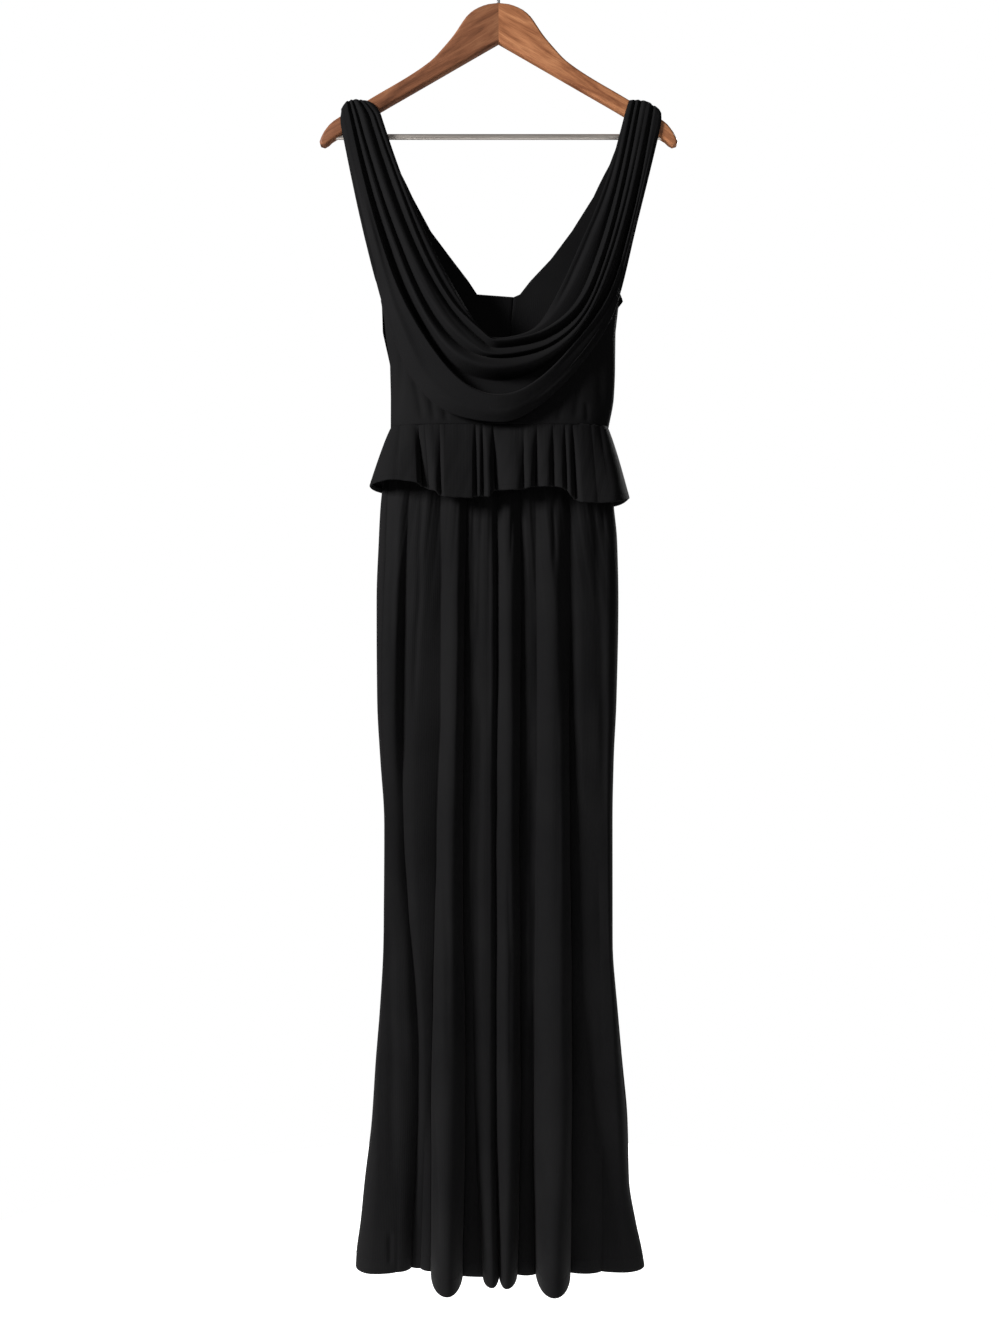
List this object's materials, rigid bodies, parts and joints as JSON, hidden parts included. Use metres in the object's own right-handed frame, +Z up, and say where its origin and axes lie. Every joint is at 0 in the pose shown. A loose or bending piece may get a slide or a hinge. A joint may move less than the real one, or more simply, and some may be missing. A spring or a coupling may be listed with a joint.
{
  "type": "maxi dress on wooden trouser-bar hanger",
  "caption": "Long sleeveless cowl-neck dress with a peplum and gathered full-length skirt, hanging on a wooden hanger with a trouser bar.",
  "frame": {"origin": "inside crown of the hanger's hook, where a rail bears", "axes": "+Z up, +X to the right of someone looking at the dress's front, front facing -Y"},
  "size_m": [0.444, 0.1634, 1.6419],
  "materials": {
    "jersey": "matt black jersey with a faint sheen",
    "wood": "satin red-brown varnish",
    "steel": "satin"
  },
  "bodies": {
    "root": {"front_cowl": "jersey", "front_bodice": "jersey", "back_bodice_left": "jersey", "back_bodice_right": "jersey", "peplum_front": "jersey", "peplum_back": "jersey", "skirt_front": "jersey", "skirt_back": "jersey", "hanger_arm_left": "wood", "hanger_arm_right": "wood", "trouser_bar": "steel", "hanger_hook": "steel"}
  },
  "joints": []
}
